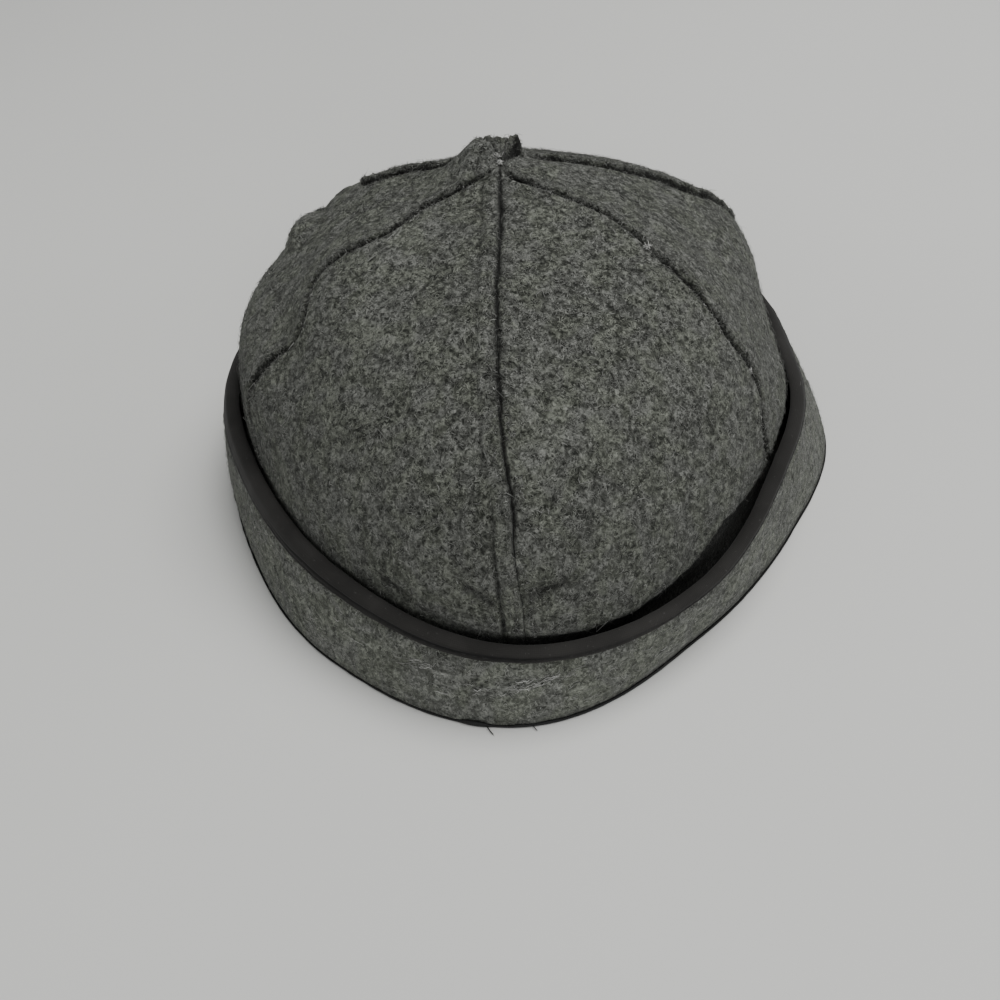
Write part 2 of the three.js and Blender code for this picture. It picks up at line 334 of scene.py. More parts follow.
# matted wool: blobs and tufts of tone, curled pale fibres that follow the level lines of noise
# where it crosses its middle value, and small dark holes between them
def feltedWoolGroup():
    tree = bpy.data.node_groups.new("feltedWool", "ShaderNodeTree")
    sockets = (
        ("Vector", "NodeSocketVector", (0, 0, 0)), ("Dark", "NodeSocketColor", (0.03, 0.03, 0.03, 1)),
        ("Middle", "NodeSocketColor", (0.1, 0.1, 0.1, 1)), ("Light", "NodeSocketColor", (0.3, 0.3, 0.3, 1)),
        ("Contrast", "NodeSocketFloat", 1.0), ("Fibres", "NodeSocketFloat", 1.0), ("Shade", "NodeSocketFloat", 0.0),
    )
    for label, kind, value in sockets:
        socket = tree.interface.new_socket(name=label, in_out="INPUT", socket_type=kind)
        socket.default_value = value
    for label, kind in (("Color", "NodeSocketColor"), ("Height", "NodeSocketFloat"),
                        ("Roughness", "NodeSocketFloat")):
        tree.interface.new_socket(name=label, in_out="OUTPUT", socket_type=kind)
    inside = addNode(tree, "NodeGroupInput", (-1400, 0))
    outside = addNode(tree, "NodeGroupOutput", (900, 0))
    vector = inside.outputs["Vector"]
    blobs = noise(tree, (-1000, 300), vector, 760, 3.0, 0.8, 0.6)
    tufts = noise(tree, (-1000, 60), vector, 300, 2.0, 0.8, 0.55)
    slow = noise(tree, (-1000, -180), vector, 46, 2.0, 0.4, 0.5)
    curls = []
    curlLayers = (((0.3, 0.2, 0.6), 520, 0.045), ((0.9, -0.4, 2.1), 700, 0.055), ((-0.5, 1.1, -0.8), 900, 0.065))
    for k, (turn, size, width) in enumerate(curlLayers):
        low = -420 - 260 * k
        spread = addNode(tree, "ShaderNodeMapping", (-1200, low), Rotation=turn, Scale=(1.0, 1.0, 1.0))
        tree.links.new(vector, spread.inputs["Vector"])
        level = noise(tree, (-1000, low), spread.outputs[0], size, 1.0, 1.2, 0.45)
        off = math2(tree, "ABSOLUTE", (-740, low), math2(tree, "SUBTRACT", (-860, low), level, 0.5))
        line = stretched(tree, (-600, low), off, width, width * 0.2)
        patches = noise(tree, (-880, low - 140), spread.outputs[0], 380 + 60 * k, 1.0)
        patch = stretched(tree, (-740, low - 120), patches, 0.48, 0.62)
        curls.append(math2(tree, "MULTIPLY", (-440, low), line, patch))
    fibres = math2(tree, "MAXIMUM", (-360, -640), curls[0], curls[1])
    fibres = math2(tree, "MAXIMUM", (-280, -500), fibres, curls[2])
    holes = stretched(tree, (-600, 160), noise(tree, (-760, 160), vector, 800, 2.0, 1.0, 0.6), 0.47, 0.33)
    total = math2(tree, "ADD", (-560, 220), math2(tree, "MULTIPLY", (-760, 320), blobs, 0.60),
                  math2(tree, "MULTIPLY", (-760, 120), tufts, 0.28))
    total = math2(tree, "ADD", (-400, 200), total, math2(tree, "MULTIPLY", (-600, 0), slow, 0.12))
    total = math2(tree, "SUBTRACT", (-260, 160), total, math2(tree, "MULTIPLY", (-400, 60), holes, 0.13))
    away = math2(tree, "SUBTRACT", (-100, 60), total, 0.5)
    away = math2(tree, "MULTIPLY", (60, 60), away, inside.outputs["Contrast"])
    dark = stretched(tree, (220, 160), away, 0.02, -0.15)
    light = stretched(tree, (220, -60), away, 0.0, 0.30)
    colour = blend(tree, (400, 100), dark, inside.outputs["Middle"], inside.outputs["Dark"])
    colour = blend(tree, (520, 60), light, colour, inside.outputs["Light"])
    shown = math2(tree, "MULTIPLY", (300, -420), fibres, inside.outputs["Fibres"])
    colour = blend(tree, (600, 40), shown, colour, inside.outputs["Light"])
    tint = stretched(tree, (220, -300), noise(tree, (60, -300), vector, 130, 1.0, 0.5), 0.42, 0.6)
    greener = blend(tree, (560, -200), 1.0, colour, (0.99, 1.015, 0.94), "MULTIPLY")
    colour = blend(tree, (680, 0), tint, colour, greener)
    # Shade mixes in near black: painted shade
    colour = blend(tree, (760, 60), inside.outputs["Shade"], colour, (0.006, 0.006, 0.0055))
    tree.links.new(colour, outside.inputs["Color"])
    raised = math2(tree, "MULTIPLY", (300, -560), fibres, 0.22)
    tree.links.new(math2(tree, "ADD", (420, -480), total, raised), outside.inputs["Height"])
    tree.links.new(stretched(tree, (560, -420), fibres, 0, 1, 0.98, 0.8), outside.inputs["Roughness"])
    return tree


def startMaterial(name):
    material = bpy.data.materials.new(name)
    material.use_nodes = True
    return material, material.node_tree, material.node_tree.nodes["Principled BSDF"]


def bumped(tree, shader, height, strength, distance):
    bump = addNode(tree, "ShaderNodeBump", (-200, -300), Strength=strength, Distance=distance)
    tree.links.new(height, bump.inputs["Height"])
    tree.links.new(bump.outputs[0], shader.inputs["Normal"])


wool = {
    "dark": (0.012, 0.0126, 0.0110), "middle": (0.053, 0.0548, 0.0492), "light": (0.205, 0.209, 0.194),
    "contrast": 1.3, "fibres": 0.72, "bump": 0.9, "bumpDepth": 0.0008, "sheen": 0.08,
}
woolGroup = feltedWoolGroup()


# felted wool on Object coordinates; paintedShade is painted shade that darkens the seam trenches, creases, the gap
# behind the binding and the band under the binding's edge, streaks follow the band's run, livelier is how strong
# the mottling is low down and near the top
def woolMaterial(name, streaks=0.0, lighter=1.0, calmer=1.0, livelier=None):
    material, tree, shader = startMaterial(name)
    place = addNode(tree, "ShaderNodeTexCoord", (-1300, 0)).outputs["Object"]
    felt = addNode(tree, "ShaderNodeGroup", (-700, 0))
    felt.node_tree = woolGroup
    for label, key in (("Dark", "dark"), ("Middle", "middle"), ("Light", "light")):
        felt.inputs[label].default_value = (*[c * lighter for c in wool[key]], 1)
    felt.inputs["Contrast"].default_value = wool["contrast"] * calmer
    felt.inputs["Fibres"].default_value = wool["fibres"] * calmer
    tree.links.new(place, felt.inputs["Vector"])
    if livelier:
        upright = addNode(tree, "ShaderNodeSeparateXYZ", (-1300, 700))
        tree.links.new(place, upright.inputs[0])
        for label, key in (("Contrast", "contrast"), ("Fibres", "fibres")):
            felt.inputs[label].default_value = wool[key]
            low, high = (wool[key] * k for k in livelier)
            tree.links.new(stretched(tree, (-1000, 700), upright.outputs[2], 0.035, 0.085, low, high),
                           felt.inputs[label])
    # the shade attribute is painted shade, broken up by grain and mixed in through the felt's Shade input
    shade = addNode(tree, "ShaderNodeAttribute", (-1000, -260), attribute_name="paintedShade")
    grain = noise(tree, (-1200, -480), place, 900, 2.0, 1.0)
    speckle = stretched(tree, (-1000, -480), grain, 0.35, 0.62, 0.8, 1.15)
    tree.links.new(math2(tree, "MULTIPLY", (-860, -300), shade.outputs["Fac"], speckle, True), felt.inputs["Shade"])
    colour = felt.outputs["Color"]
    if streaks:
        run = addNode(tree, "ShaderNodeUVMap", (-1300, 420), uv_map="clothRun").outputs[0]
        spread = addNode(tree, "ShaderNodeMapping", (-1120, 420), Scale=(160, 1500, 1))
        tree.links.new(run, spread.inputs["Vector"])
        line = stretched(tree, (-760, 420), noise(tree, (-940, 420), spread.outputs[0], 1.0, 2.0, 0.8), 0.55, 0.74)
        patch = stretched(tree, (-760, 240), noise(tree, (-940, 240), place, 70, 1.0), 0.42, 0.62)
        share = math2(tree, "MULTIPLY", (-580, 380), math2(tree, "MULTIPLY", (-660, 340), line, patch), streaks)
        colour = blend(tree, (-420, 200), share, colour, tuple(c * lighter for c in wool["light"]))
    tree.links.new(colour, shader.inputs["Base Color"])
    tree.links.new(felt.outputs["Roughness"], shader.inputs["Roughness"])
    shader.inputs["Specular IOR Level"].default_value = 0.15
    shader.inputs["Sheen Weight"].default_value = wool["sheen"]
    shader.inputs["Sheen Roughness"].default_value = 0.5
    shader.inputs["Sheen Tint"].default_value = (0.8, 0.82, 0.78, 1)
    bumped(tree, shader, felt.outputs["Height"], wool["bump"], wool["bumpDepth"])
    return material


# single wool hairs: each has its own tone from dark to pale
def fibreMaterial(name, dark, light):
    material, tree, shader = startMaterial(name)
    tone = addNode(tree, "ShaderNodeAttribute", (-700, 0), attribute_name="fibreTone")
    place = addNode(tree, "ShaderNodeTexCoord", (-900, -200)).outputs["Object"]
    patchy = stretched(tree, (-500, -200), noise(tree, (-700, -200), place, 700, 1.0), 0.3, 0.7, 0.75, 1.2)
    colour = blend(tree, (-400, 0), tone.outputs["Fac"], dark, light)
    bright = blend(tree, (-200, 0), 1.0, colour, patchy, "MULTIPLY")
    tree.links.new(bright, shader.inputs["Base Color"])
    shader.inputs["Roughness"].default_value = 0.75
    shader.inputs["Specular IOR Level"].default_value = 0.2
    return material


# charcoal cloth tape: fine lengthwise ribs crossed by threads, faint lint and rubbed edges
def tapeMaterial(name, base, lint):
    material, tree, shader = startMaterial(name)
    run = addNode(tree, "ShaderNodeUVMap", (-1300, 200), uv_map="clothRun").outputs[0]
    place = addNode(tree, "ShaderNodeTexCoord", (-1300, -200)).outputs["Object"]
    weft = addNode(tree, "ShaderNodeTexWave", (-1000, 300), Scale=620.0, Distortion=1.2, Detail=1.0,
                   bands_direction="X")
    warp = addNode(tree, "ShaderNodeTexWave", (-1000, 0), Scale=700.0, Distortion=1.0, Detail=1.0,
                   bands_direction="Y")
    tree.links.new(run, weft.inputs["Vector"])
    tree.links.new(run, warp.inputs["Vector"])
    weave = math2(tree, "ADD", (-760, 160), math2(tree, "MULTIPLY", (-860, 240), weft.outputs["Fac"], 0.5),
                  math2(tree, "MULTIPLY", (-860, 60), warp.outputs["Fac"], 0.5))
    slow = noise(tree, (-1000, -260), place, 60, 3.0, 0.4)
    fine = noise(tree, (-1000, -480), place, 1500, 2.0, 0.6)
    worn = stretched(tree, (-760, -260), slow, 0.35, 0.7, 0.82, 1.22)
    colour = blend(tree, (-560, 100), stretched(tree, (-700, 0), weave, 0.2, 0.8, 0.0, 0.5), base,
                   tuple(c * 1.5 for c in base))
    colour = blend(tree, (-400, 60), 1.0, colour, worn, "MULTIPLY")
    dust = stretched(tree, (-560, -480), fine, 0.68, 0.78, 0.0, 0.3)
    # the shade attribute is painted shade in the binding's crease and stitch dips, mixed in as near black
    shade = addNode(tree, "ShaderNodeAttribute", (-760, -700), attribute_name="paintedShade")
    colour = blend(tree, (-260, 60), dust, colour, lint)
    colour = blend(tree, (-120, 60), shade.outputs["Fac"], colour, (0.004, 0.004, 0.004))
    tree.links.new(colour, shader.inputs["Base Color"])
    tree.links.new(stretched(tree, (-400, -200), slow, 0.3, 0.7, 0.95, 0.82), shader.inputs["Roughness"])
    shader.inputs["Specular IOR Level"].default_value = 0.2
    shader.inputs["Sheen Weight"].default_value = 0.05
    shader.inputs["Sheen Roughness"].default_value = 0.5
    height = math2(tree, "ADD", (-400, -420), weave, math2(tree, "MULTIPLY", (-560, -640), fine, 0.8))
    bumped(tree, shader, height, 0.25, 0.00015)
    return material


crownWool = woolMaterial("crownWool", livelier=(0.78, 1.12))
# the band's wool is a lighter, calmer copy of the crown's: partly the band's own lighter tone, partly painted light
# for its upright face
bandWool = woolMaterial("bandWool", streaks=0.45, lighter=1.43, calmer=0.62)
woolHair = fibreMaterial("woolHair", (0.022, 0.0225, 0.02), (0.24, 0.243, 0.23))
paleHair = fibreMaterial("paleHair", (0.13, 0.13, 0.125), (0.40, 0.40, 0.385))
bindingTape = tapeMaterial("bindingTape", (0.0135, 0.0128, 0.0120), (0.12, 0.12, 0.115))
edgingTape = tapeMaterial("edgingTape", (0.009, 0.009, 0.009), (0.08, 0.08, 0.08))
blackThread = fibreMaterial("blackThread", (0.006, 0.006, 0.006), (0.02, 0.02, 0.02))
print("materials made")

# crown gores
# ridge 1 or -1: which side the seam allowance is laid to, height and reach of the ridge, soft: how
# gently it ends, depth and width of the trench, which is darkened with painted shade
seams = table(
    "name angle ridge height reach soft depth width",
    ("centre back", -91.2, -1, 0.8, 4.9, 0.5, 1.5, 0.78),
    ("right rear", -31.2, 1, 0.7, 2.2, 1.2, 2.0, 1.1),
    ("right front", 28.8, 1, 1.8, 3.0, 1.4, 1.8, 1.25),
    ("centre front", 88.8, 1, 0.8, 2.6, 1.3, 1.5, 0.8),
    ("left front", 148.8, -1, 1.8, 3.0, 1.4, 1.8, 1.25),
    ("left rear", 208.8, -1, 0.7, 2.2, 1.2, 2.1, 1.2),
)

# how each seam wanders from its upright plane, from the waist up: shift in mm towards larger angles,
# open is how deep and wide the trench is there and how strong its painted shade is
seamLines = [
    {"rise": [2, 8, 15, 21, 27, 34, 44, 60, 86, 90], "shift": [3.0, 3.0, 1.9, 2.0, 0.5, 0.0, -0.9, -0.2, 0.3, 0.0],
     "open": [0.12, 0.15, 0.45, 1.0, 0.7, 0.85, 1.0, 0.9, 1.0, 0.5]},
    {"rise": [3, 10, 15, 20, 27, 32, 40, 50, 54, 56, 66, 75, 80, 84, 86, 88, 90],
     "shift": [0.0, -3.8, -2.4, 2.4, 1.3, -1.6, 0.1, 0.4, 0.4, 2.0, 4.8, 2.8, 0.9, -0.8, -1.8, -1.4, 0.0],
     "open": [1.1, 1.15, 1.2, 1.15, 1.0, 1.0, 1.0, 1.0, 0.4, 0.9, 1.0, 1.0, 1.0, 1.0, 0.9, 0.5, 0.2]},
    {"rise": [0, 20, 30, 38, 43, 47, 52, 60, 67, 71, 76, 80, 84, 86, 88, 90],
     "shift": [0.0, -1.0, -3.0, -4.2, -1.8, 1.0, 2.0, 2.2, 4.8, 7.0, 8.2, 7.4, 5.4, 4.0, 2.2, 0.0],
     "open": [1.0, 1.0, 1.0, 1.0, 1.0, 1.0, 1.0, 1.0, 1.0, 1.0, 1.0, 1.0, 1.0, 1.0, 0.5, 0.2]},
    {"rise": [0, 30, 60, 70, 90], "shift": [0.0, -0.8, 0.6, 0.0, 0.0], "open": [1.0, 1.0, 0.7, 0.1, 0.1]},
    {"rise": [0, 30, 35, 38, 41, 44, 48, 51, 54, 58, 62, 67, 72, 76, 80, 84, 86, 88, 90],
     "shift": [0.0, 0.0, 2.0, 4.5, 4.5, 1.0, -1.0, 1.0, 3.4, 3.1, 0.7, -1.4, -4.6, -6.6, -6.4, -4.9, -3.8, -2.2,
               0.0],
     "open": [1.0, 1.0, 1.0, 1.0, 1.0, 1.0, 1.0, 1.0, 1.0, 1.0, 1.0, 1.0, 1.0, 1.0, 1.0, 0.8, 0.6, 0.4, 0.1]},
    {"rise": [5, 9, 12, 16, 20, 22, 24, 26, 29, 31, 34, 36, 38, 40, 42, 45, 48, 51, 54, 58, 62, 72, 80, 84, 86,
              88, 90],
     "shift": [1.5, -0.7, -3.8, -4.9, -6.1, -5.5, -5.1, -4.4, -4.7, -2.0, -0.2, 0.1, 0.7, -1.2, -4.3, -8.3, -9.3,
               -8.2, -6.4, -3.8, -1.9, -4.6, -1.4, -0.2, 0.8, 0.7, 0.0],
     "open": [1.0, 1.0, 1.1, 1.1, 1.2, 1.2, 1.3, 1.3, 1.2, 0.9, 0.15, 0.4, 1.1, 1.2, 1.3, 1.3, 1.2, 1.1, 1.0, 1.0,
              1.0, 1.0, 1.0, 0.9, 0.5, 0.2, 0.1]},
]

# the felled allowance of the back seam ends in a second, finer groove, darkened with painted shade
backFell = {"aside": -5.1, "rise": [2, 10, 18, 22, 26, 48, 56, 84, 90],
            "depth": [1.5, 1.15, 0.9, 0.6, 0.2, 0.3, 0.5, 0.45, 0.1], "width": 0.5}

# fine creases pressed in low on the back, depth in mm; shade is the painted shade that darkens a crease
creases = table(
    "angle rise round up tilt depth shade",
    (-109.5, 6.6, 3.2, 0.62, -0.25, -1.1, 0.9),
    (-107.5, 9.4, 6.0, 1.5, -0.1, 0.5, 0),
    (-95.6, 9.0, 2.8, 0.58, -0.5, -1.0, 0.85),
    (-97.0, 12.2, 2.2, 0.7, -0.3, -0.5, 0.4),
    (-85.6, 9.6, 4.2, 0.55, 0.12, -1.1, 0.9),
    (-85.0, 11.3, 4.0, 1.3, 0.12, 0.5, 0),
    (-60.0, 20.0, 9.0, 2.5, 0.2, -0.5, 0),
    (-128.0, 24.0, 8.0, 2.2, -0.25, -0.4, 0),
    (147.4, 44.3, 11.7, 6.9, 0.0, -5.1, 0),
    (162.5, 38.6, 9.5, 3.3, 0.0, 3.4, 0),
    (60.0, 18.0, 9.0, 2.4, 0.15, -0.6, 0),
    (122.0, 22.0, 8.0, 2.4, -0.2, -0.6, 0),
)

# lumps of bunched cloth where the seams end: turn and reach from the apex, in degrees and mm
apexLumps = table(
    "turn reach height spread",
    (134.5, 9.2, 7.5, 6.7),
    (85, 12.1, 5.0, 4.3),
    (65, 11.9, 4.6, 1.5),
    (150, 17.0, 1.3, 4.0),
    (30, 13.0, 1.2, 5.0),
    (84, 3.6, 1.0, 1.1),
    (120, 5.6, 1.0, 1.0),
)

# where the crown turns under behind the binding: rise of the edge of the painted shadow in the gap, and how black
# that painted shadow is below it
gapEdge = {"angle": [-180, -125, -104, -98, -90, -84, -78, -72, -67, -64, -60, -57, -54, -50, -42, -34, -28, -10,
                     30, 180],
           "rise": [8.6, 7.4, 5.0, 3.6, 2.2, 1.4, 0.6, 0.2, 0.4, 0.7, 1.4, 2.3, 3.3, 4.7, 4.9, 5.2, 7.2, 8.6, 8.5,
                    9.0],
           "black": [0.25, 0.28, 0.4, 0.55, 0.75, 0.9, 1.0, 1.0, 1.0, 1.0, 1.0, 1.0, 1.0, 1.0, 1.0, 1.0, 1.0, 0.9,
                     0.6, 0.5]}

gore = {
    "wallRows": 16, "domeRows": 150, "seamReach": 9.5, "seamColumns": 20, "openColumns": 17,
    "seamGap": 0.05, "behindDepth": 1.5, "footHeight": 0.6,
    "slowRelief": 0.5, "tuftRelief": 0.24, "fineRelief": 0.11,
}


# one column of a seam's line at any rise, rounded by averaging three places two degrees apart
def seamLine(line, column, rise):
    return sum(np.interp(rise + k, line["rise"], line[column]) for k in (-1.6, 0, 1.6)) / 3


# raised lumpy allowance on one side, a trench exp(-(aside/width)^2) at the seam and a slight pillow
# on the other side, with painted shade darkening the trench; aside is millimetres from the seam, positive towards
# larger angles
def seamRelief(index, aside, rise, spot):
    seam = seams[index]
    slow, quick, tiny = (latticeNoise(spot, cell, seed + index) for cell, seed in ((8.0, 31), (3.0, 51), (1.5, 71)))
    aside = aside + seam["ridge"] * (0.26 * quick + 0.24 * tiny) * np.exp(-(aside / 2.0) ** 2)
    away = np.abs(aside)
    onRidge = aside * seam["ridge"] > 0
    openness = seamLine(seamLines[index], "open", rise)
    depth = seam["depth"] * openness * (1 + 0.3 * quick + 0.25 * tiny)
    width = seam["width"] * (0.95 + 0.15 * slow + 0.25 * quick) * (0.45 + 0.55 * openness)
    relief = -depth * np.exp(-(away / width) ** 2)
    # painted shade in the trench
    shade = np.clip(openness, 0, 1.4) * (1.45 + 0.4 * tiny + 0.2 * quick) * np.exp(-(away / (0.88 * width)) ** 2)
    edge = (away - seam["reach"] * (1 + 0.12 * quick)) / seam["soft"]
    lumpy = (1 + 0.25 * slow + 0.4 * quick + 0.3 * tiny) * (0.45 + 0.55 * np.clip(openness, 0, 1))
    ridge = seam["height"] * lumpy * 0.5 * (1 - np.tanh(edge)) * (0.6 + 0.4 * easeStep(away, 0.2, 1.4))
    pillow = (0.28 + 0.2 * quick) * np.exp(-((away - 2.2) / 1.5) ** 2)
    relief = relief + np.where(onRidge, ridge, pillow)
    if index == 0:
        fell = np.exp(-((aside - backFell["aside"] + 0.25 * slow + 0.2 * tiny) / backFell["width"]) ** 2)
        fell = fell * np.interp(rise, backFell["rise"], backFell["depth"]) * (1 + 0.4 * quick)
        # the fell's groove gets painted shade as well
        relief, shade = relief - fell, shade + 0.75 * fell
    return relief, np.clip(shade, 0, 1)


# slow, tuft-sized and fine unevenness of felt, plus the creases and their painted shade
def feltRelief(angle, rise, spot):
    total = (gore["slowRelief"] * latticeNoise(spot, 26, 1) + gore["tuftRelief"] * latticeNoise(spot, 9, 2)
             + gore["fineRelief"] * latticeNoise(spot, 3.6, 3))
    shade = 0 * total
    for crease in creases:
        side = turnBetween(angle, crease["angle"])
        up = (rise - crease["rise"] - crease["tilt"] * side - 0.35 * latticeNoise(spot, 4, 91)) / crease["up"]
        bell = np.exp(-(side / crease["round"]) ** 4 - up**2)
        total = total + crease["depth"] * bell
        shade = shade + crease["shade"] * bell
    return total, shade


# bunched cloth at the apex, straight up: sum of height * exp(-(distance/spread)^2)
def apexLift(spot):
    apex = crownSpot(np.array(0.0), np.array(1.0))
    total = 0 * spot[..., 0]
    for lump in apexLumps:
        x = apex[0] + lump["reach"] * math.cos(lump["turn"] * degrees)
        y = apex[1] + lump["reach"] * math.sin(lump["turn"] * degrees)
        far = ((spot[..., 0] - x) ** 2 + (spot[..., 1] - y) ** 2) / lump["spread"] ** 2
        total = total + lump["height"] * np.exp(-far) * (spot[..., 2] > 60)
    return total


# angle of a seam at each level, with its slow and quick wander
def seamAngles(index, level):
    rise = cap["lastRise"] * np.maximum(level, 0)
    angle = cap["seamStart"] + cap["goreAngle"] * index
    spot = crownSpot(angle + 0 * level, level)
    radius = axisDistance(spot)
    wander = 0.4 * latticeNoise(spot, 14, 21 + index) + 0.25 * latticeNoise(spot, 4.5, 22 + index)
    wander = wander * easeStep(radius, 2, 12) + seamLine(seamLines[index], "shift", rise)
    return angle + np.clip(wander / radius / degrees, -50, 50), radius


# distance from the crown's own leaning axis
def axisDistance(spot):
    tilt = lean(spot[..., 2])
    return np.hypot(spot[..., 0] + cap["middleX"] - cap["leanRight"] * tilt,
                    spot[..., 1] + cap["middleY"] - cap["leanForward"] * tilt)


# angles of a gore's columns: fixed millimetres from each seam near it, even steps between
def goreColumns(level, index):
    left, leftRadius = seamAngles(index, level)
    right, rightRadius = seamAngles((index + 1) % 6, level)
    right = np.where(index == 5, right + 360, right)
    halves = []
    for seam, radius, side in ((left, leftRadius, 1), (right, rightRadius, -1)):
        half = radius * (right - left) / 2 * degrees
        squeeze = np.minimum(1, 0.8 * half / gore["seamReach"])
        near = gore["seamReach"] * (np.arange(gore["seamColumns"]) / (gore["seamColumns"] - 1)) ** 1.5
        aside = gore["seamGap"] * np.minimum(1, radius / 2)[:, None] + near[None, :] * squeeze[:, None]
        halves.append(seam[:, None] + side * aside / radius[:, None] / degrees)
    share = np.linspace(0, 1, gore["openColumns"] * 2 + 1)[None, 1:-1]
    between = halves[0][:, -1:] * (1 - share) + halves[1][:, -1:] * share
    return np.concatenate([halves[0], between, halves[1][:, ::-1]], axis=1), left, right


goreNames = ["back_right", "side_right", "front_right", "front_left", "side_left", "back_left"]
level = np.concatenate([np.linspace(-1, 0, gore["wallRows"], endpoint=False), np.linspace(0, 1, gore["domeRows"])])
crownFaces = {}
for index, place in enumerate(goreNames):
    angle, leftSeam, rightSeam = goreColumns(level, index)
    levels = np.broadcast_to(level[:, None], angle.shape)
    rise = cap["lastRise"] * np.maximum(levels, 0)
    base = crownSpot(angle, levels)
    out = crownNormal(angle, levels)
    radius = axisDistance(base)
    fromLeft = (angle - leftSeam[:, None]) * degrees * radius
    fromRight = (angle - rightSeam[:, None]) * degrees * radius
    leftRelief, leftShade = seamRelief(index, fromLeft + 1e-4, rise, base)
    rightRelief, rightShade = seamRelief((index + 1) % 6, fromRight - 1e-4, rise, base)
    apexFade = easeStep(radius, 0.3, 5)  # seams settle together where they meet
    relief = np.where(np.abs(fromLeft) < np.abs(fromRight), leftRelief, rightRelief)
    shown = 0.12 + 0.88 * easeStep(base[..., 2], around("top", angle) - 2, around("top", angle) + 7)
    felt, creaseShade = feltRelief(angle, rise, base)
    roundTurn = turnBetween(angle, 0)
    # behind: painted shadow that darkens the crown in the gap behind the binding; the same mask pushes the crown in
    # by behindDepth
    edge = np.interp(roundTurn, gapEdge["angle"], gapEdge["rise"]) + 0.25 * latticeNoise(base, 5, 92)
    behind = (1 - easeStep(rise, edge - 0.2, edge + 0.6)) * np.interp(roundTurn, gapEdge["angle"], gapEdge["black"])
    relief = np.where(relief > 0, relief * shown, relief) * (0.35 + 0.65 * apexFade)
    relief = relief + felt * shown - gore["behindDepth"] * behind
    outer = base + out * relief[..., None]
    outer[..., 2] += apexLift(base)
    sparse = np.unique(np.append(np.arange(0, angle.shape[1], 4), angle.shape[1] - 1))
    inner = (base - out * (cap["crownCloth"] + 0.3 * np.minimum(relief, 0))[..., None])[:, sparse]
    loops = np.concatenate([inner, outer[:, ::-1]], axis=1)
    loops[..., 2] = np.maximum(loops[..., 2], gore["footHeight"])  # the inside's foot stays off the floor
    rows, size = loops.shape[:2]
    # painted shade of the seam trenches, creases and the gap behind the binding; the inner faces get 0.15 of
    # painted shade
    shade = np.maximum(np.maximum(leftShade, rightShade), np.maximum(creaseShade, behind))
    shade = np.concatenate([np.full((rows, len(sparse)), 0.15), shade[:, ::-1]], axis=1)
    endQuads, endTriangles = endFaces(rows, len(sparse), size)
    quads = np.concatenate([loopQuads(rows, size, False), endQuads])
    piece = makePiece("wool_gore_" + place, loops.reshape(-1, 3), quads, crownWool, endTriangles,
                      masks={"paintedShade": shade})
    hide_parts("crown_panel_" + place)
    crownFaces[place] = (outer, behind, np.minimum(np.abs(fromLeft), np.abs(fromRight)))
print("six gores made,", len(level), "rows each")


# ear band; cutWidth is a nominal width, the band's own is 19.5 to 33.6 along its slope
band = {"columns": 720, "faceRows": 26, "tuftRelief": 0.22, "slowRelief": 0.35, "fineRelief": 0.1,
        "footDrop": 0.85, "cutWidth": 31.0, "runHeight": 12}


# run round the cap in millimetres, for patterns that follow the cloth
def runLength(angle, height):
    spot = polar(angle, bandRadius(angle, height), height)
    steps = np.linalg.norm(np.diff(spot, axis=0, append=spot[:1]), axis=1)
    return np.concatenate([[0], np.cumsum(steps)[:-1]])


# a ring closed round the cap; across is the pattern's second direction, in millimetres
def ringPiece(name, loops, across, shade, material):
    clothRun = np.stack(np.broadcast_arrays(run[:, None], across), axis=-1).reshape(-1, 2) / 1000
    return makePiece(name, loops.reshape(-1, 3), loopQuads(*loops.shape[:2], True), material,
                     masks={"paintedShade": shade}, clothRun=clothRun)


turn = cap["seamStart"] + 360 * np.arange(band["columns"]) / band["columns"]
bandTop = around("top", turn)
underTape = tapeLine(turn)
bandHead = bandTop - cap["tapeCloth"] - cap["tapeSlack"]
share = np.linspace(0, 1, band["faceRows"])[None, :]
bandLow = bandFoot - band["footDrop"]
heights = bandLow + (bandHead - bandLow)[:, None] * share
turns = np.broadcast_to(turn[:, None], heights.shape)
inside = bandRadius(turns, heights)
face = polar(turns, inside + cap["bandCloth"], heights)
below = underTape[:, None] - heights
puckers = -0.45 * np.exp(-(below / 1.3) ** 2) + 0.35 * np.exp(-((below - 3.2) / 2.2) ** 2)
footRoll = -0.45 * np.exp(-((heights - bandFoot) / 1.0) ** 2)
felt = (band["slowRelief"] * latticeNoise(face, 22, 5) + band["tuftRelief"] * latticeNoise(face, 8, 6)
        + band["fineRelief"] * latticeNoise(face, 3.4, 7))
bare = easeStep(below, -0.6, 1.2) * easeStep(heights - bandFoot, -0.5, 2.0)
bandOut = np.minimum(cap["bandCloth"] + felt * bare + puckers * (below > -1.5) + footRoll, cap["bandCloth"] + 0.9)
outerFace = polar(turns, inside + bandOut, heights)
innerShare = np.array([1.0, 0.9, 0.75, 0.6, 0.45, 0.3, 0.18, 0.08, 0.0])[None, :]
innerHeights = bandLow + (bandHead - bandLow)[:, None] * innerShare
innerTurns = np.broadcast_to(turn[:, None], innerHeights.shape)
innerFace = polar(innerTurns, bandRadius(innerTurns, innerHeights), innerHeights)
bandLoops = np.concatenate([outerFace, innerFace], axis=1)
run = runLength(turn, band["runHeight"] + 0 * turn)
# bandShade: painted shade just under the binding's edge and along the band's foot, and 0.2 of painted shade on the
# inner face
bandShade = np.concatenate([0.55 * np.exp(-(below / 0.7) ** 2) + 0.3 * np.exp(-((heights - bandFoot) / 0.8) ** 2),
                            0.2 + 0 * innerHeights], axis=1)
bandPiece = ringPiece("wool_ear_band", bandLoops, bandLoops[..., 2], bandShade, bandWool)
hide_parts("earflap_band")
print("ear band made")

